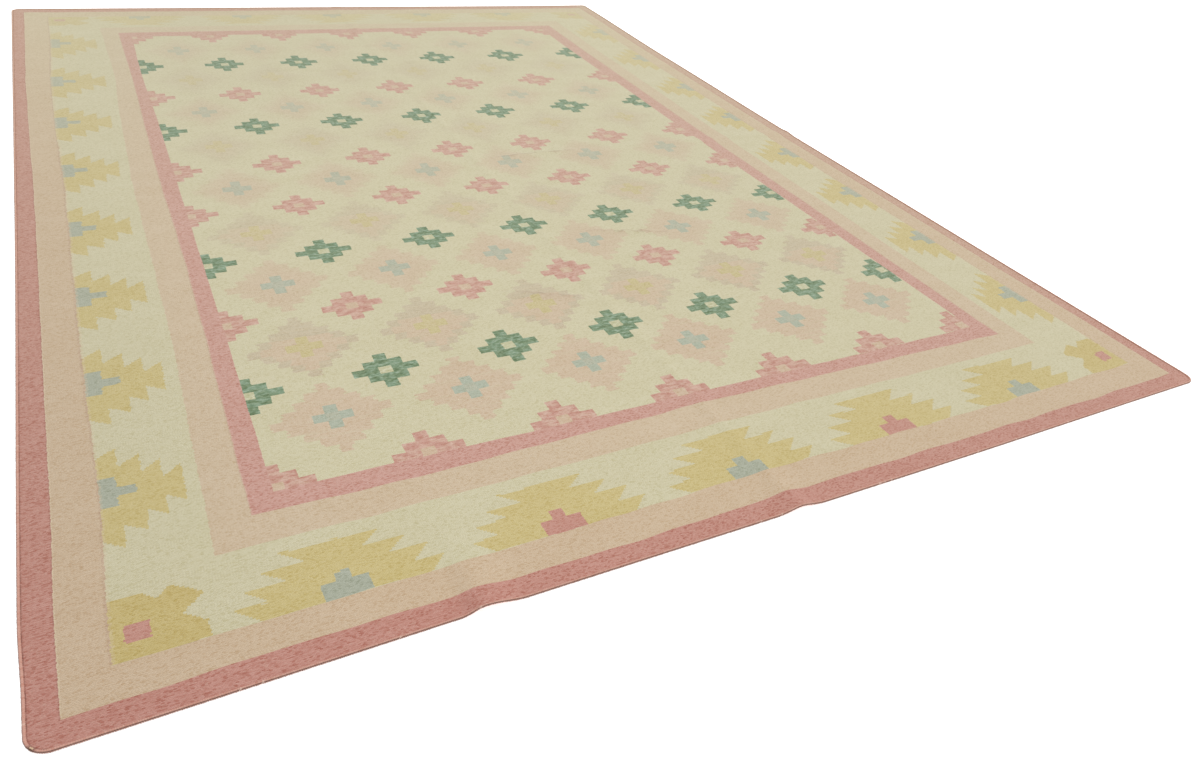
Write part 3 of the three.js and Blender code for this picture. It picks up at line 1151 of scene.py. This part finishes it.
# where two bands meet side by side, the wefts turn back round the warp in a beaded line
def joinLines(tree, at, colour):
    onSide = isBelow(tree, at["xBand"], at["yBand"])
    bead = timesPlus(tree, whiteNoise(tree, at["pass"], seeds["bead"]), *pattern["bead"])
    aside = pattern["joinAside"]
    for join, strength in pattern["joins"]:
        for place, amount, lineColour in ((aside, strength, yarns["warpLine"]),
                                          (-aside, strength * pattern["darkJoin"], yarns["darkLine"])):
            line = isWithin(tree, at["xBandToothed"], join + place, pattern["joinLine"])
            line = times(tree, times(tree, line, onSide), bead)
            colour = mixColours(tree, times(tree, line, amount), colour, lineColour)
    return colour


# painted shade in the groove beside the whipped edge, here and there along the left side
def grooveShade(tree, at, colour):
    groove = smoothStep(tree, at["fromEdge"], *clothLook["groove"])
    edgeShade = softNoise(tree, "groove shade", at["fromLeft"], at["fromNear"])
    edgeShade = limited(tree, timesPlus(tree, edgeShade, *clothLook["grooveShade"]))
    edgeShade = times(tree, edgeShade, isBelow(tree, at["fromLeft"], clothLook["grooveLeft"]))
    return mixColours(tree, times(tree, groove, edgeShade), colour, clothLook["grooveShadeTone"])


# the small creases hold a faint shade
def creaseShades(tree, at, colour):
    for crease in creases:
        wayX, wayY, length = foldWay(crease)
        line = useGroup(tree, "crease", Across=at["fromLeft"], Along=at["fromNear"], Length=length,
                        **{"Start Across": crease["start"][0] + halfWidth,
                           "Start Along": crease["start"][1] + halfLength,
                           "Way Across": wayX, "Way Along": wayY, "Half Width": crease["line"]})["Line"]
        colour = mixColours(tree, times(tree, line, crease["shade"]), colour, creaseLook["tone"])
    return colour


def clothMaterial():
    material, tree, shader = newMaterial("woven wool", clothLook["finish"])
    at = readChart(tree)
    colour = joinLines(tree, at, wovenBands(tree, at))
    relief = useGroup(tree, "weave", Across=at["fromLeft"], Along=at["fromNear"],
                      Weft=weave["weft"], Warp=weave["warp"])
    # the deeply dyed crosses and rose bands are the most uneven
    mottle = timesPlus(tree, at["shownGreen"], clothLook["greenMottle"],
                       times(tree, at["shownCross"], clothLook["crossMottle"]))
    inRose = larger(tree, isBelow(tree, at["depth"], 1.0), isWithin(tree, at["depth"], 4.5, 0.5))
    heather = useGroup(tree, "heather", Color=colour, Grain=relief["Grain"],
                       Grains=timesPlus(tree, inRose, *clothLook["grains"]),
                       Dashes=timesPlus(tree, inRose, *clothLook["dashes"]),
                       Strokes=timesPlus(tree, inRose, *clothLook["strokes"]),
                       Mottle=mottle, Patches=clothLook["patches"],
                       **{"Along Yarn": at["fromLeft"], "Across Yarn": at["fromNear"],
                          "Pale Fibres": clothLook["paleFibres"]})
    colour = creaseShades(tree, at, grooveShade(tree, at, heather["Color"]))
    # painted shade: the hollows between the floats are darker, and the cloth is darker towards its near left
    # corner and towards the far end and the right side
    paintedHollowShade = minus(tree, timesPlus(tree, relief["Height"], *clothLook["paintedHollowShade"]), at["paintedShade"])
    colour = mixColours(tree, smaller(tree, paintedHollowShade, 1.0), clothLook["hollowShadeTone"], colour)
    feed(tree, shader.inputs["Base Color"], colour)
    addBump(tree, shader, relief["Height"], *clothLook["bump"])
    return material


# How the whipping's yarn looks, with around measured in shares of a turn
edgeLook = {
    "finish": {"Roughness": 0.9, "Specular IOR Level": 0.2, "Sheen Weight": 0.12, "Sheen Roughness": 0.5},
    "bump": (0.5, 0.0004),
    "yarn": tone(207, 153, 138),
    "heather": {"Grains": 0.30, "Dashes": 0.16, "Mottle": 0.0, "Patches": 0.0, "Strokes": 0.0,
                "Pale Fibres": 0.25},
    "alongYarn": 0.05,
    "acrossYarn": 0.01,
    "grooveLit": (-0.5, 1.0),
    "grooveShadeTone": tone(118, 80, 74),
    "foot": (0.80, 0.25, 0.92),
    "footOutside": -0.1,
    "footShadeTone": tone(88, 64, 56),
    "paleTurns": 0.99,
    "paleTurnShare": 0.45,
    "paleTurnTone": tone(232, 208, 192),
    "darkEndPower": 0.7,
    "darkEndTone": tone(92, 60, 48),
    "paleEndAround": (0.27, 0.11),
    "paleEndFrom": 0.62,
    "paleEndShare": 0.75,
    "paleEndTone": tone(226, 196, 160),
}


def edgeMaterial():
    material, tree, shader = newMaterial("whipping yarn", edgeLook["finish"])
    at = readAttribute(tree, "wound", ("turns", "around", "corner"))
    at.update(readAttribute(tree, "paintedSheenAndShade", ("paintedSheen", "edgeShade")))
    turn = roundOff(tree, at["turns"])
    grain = whiteNoise(tree, turn, seeds["turn"])
    heather = useGroup(tree, "heather", Color=edgeLook["yarn"], Grain=grain,
                       **{"Along Yarn": times(tree, at["around"], edgeLook["alongYarn"]),
                          "Across Yarn": times(tree, at["turns"], edgeLook["acrossYarn"])},
                       **edgeLook["heather"])
    # painted sheen: paler towards the far end and the right side
    yarn = mixColours(tree, at["paintedSheen"], heather["Color"], yarns["paleGround"])
    # painted shade: the grooves between the turns are darker, and so is the foot of the edge
    groove = distance(tree, minus(tree, at["turns"], turn))
    colour = mixColours(tree, timesPlus(tree, groove, *edgeLook["grooveLit"]), edgeLook["grooveShadeTone"], yarn)
    angle = times(tree, at["around"], 2 * math.pi)
    foot = smoothStep(tree, sine(tree, angle), *edgeLook["foot"])
    outside = isAbove(tree, maths("COSINE", tree, angle), edgeLook["footOutside"])
    footShade = times(tree, times(tree, foot, outside), at["edgeShade"])
    # a pale turn shows now and then
    speck = times(tree, isAbove(tree, grain, edgeLook["paleTurns"]), edgeLook["paleTurnShare"])
    # the cord's two ends are sewn together at one corner, where a dark end and a pale tip show
    darkEnd = power(tree, at["corner"], edgeLook["darkEndPower"])
    paleEnd = times(tree, isWithin(tree, at["around"], *edgeLook["paleEndAround"]),
                    isAbove(tree, at["corner"], edgeLook["paleEndFrom"]))
    paleEnd = times(tree, paleEnd, edgeLook["paleEndShare"])
    for share, over in ((footShade, "footShadeTone"), (speck, "paleTurnTone"),
                        (darkEnd, "darkEndTone"), (paleEnd, "paleEndTone")):
        colour = mixColours(tree, share, colour, edgeLook[over])
    feed(tree, shader.inputs["Base Color"], colour)
    addBump(tree, shader, softNoise(tree, "strands", at["around"], at["turns"]), *edgeLook["bump"])
    return material


# Floor and light. The photo's floor is blank, so a faint glow keeps all but the closest shadow white.
stage = {
    "floorSize": 60.0,
    "floorFinish": {"Base Color": (0.95, 0.95, 0.95, 1.0), "Roughness": 1.0, "Specular IOR Level": 0.0,
                    "Emission Color": (1.0, 1.0, 1.0, 1.0), "Emission Strength": 0.65},
    "worldColor": (1.0, 1.0, 1.0, 1.0),
    "worldLight": 0.70,
    "softboxPower": 1540.0,
    "softboxSize": 10.0,
    "softboxPlace": (9.0, 2.0, 14.0),
}


def makeStage():
    bpy.ops.object.select_all(action="DESELECT")
    bpy.ops.mesh.primitive_plane_add(size=stage["floorSize"], location=(0, 0, 0))
    floor = bpy.context.object
    floor.name = "floor"
    floor.data.materials.append(newMaterial("pale floor", stage["floorFinish"])[0])
    world = bpy.data.worlds.new("studio")
    world.use_nodes = True
    background = world.node_tree.nodes["Background"]
    background.inputs["Color"].default_value = stage["worldColor"]
    background.inputs["Strength"].default_value = stage["worldLight"]
    bpy.context.scene.world = world
    data = bpy.data.lights.new("softbox", "AREA")
    data.shape = "SQUARE"
    data.size = stage["softboxSize"]
    data.energy = stage["softboxPower"]
    softbox = bpy.data.objects.new("softbox", data)
    bpy.context.scene.collection.objects.link(softbox)
    place = Vector(stage["softboxPlace"])
    softbox.location = place
    softbox.rotation_euler = place.to_track_quat("Z", "Y").to_euler()
    bpy.context.scene.view_settings.view_transform = "Standard"
    bpy.context.scene.view_settings.look = "None"


makeStage()
print("stage set")

groups = {
    "diamond": steppedDiamond(),
    "medallion": flaredMedallion(),
    "corner": cornerBlock(),
    "weave": weaveRelief(),
    "crease": creaseLine(),
    "heather": heatherYarn(),
}

wovenCloth = makeCloth()
wovenCloth.data.materials.append(clothMaterial())
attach(wovenCloth, "root")
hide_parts("kilim_cloth")

whippedEdge = makeEdge()
whippedEdge.data.materials.append(edgeMaterial())
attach(whippedEdge, "root")
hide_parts("edge_binding")

print("pieces made")
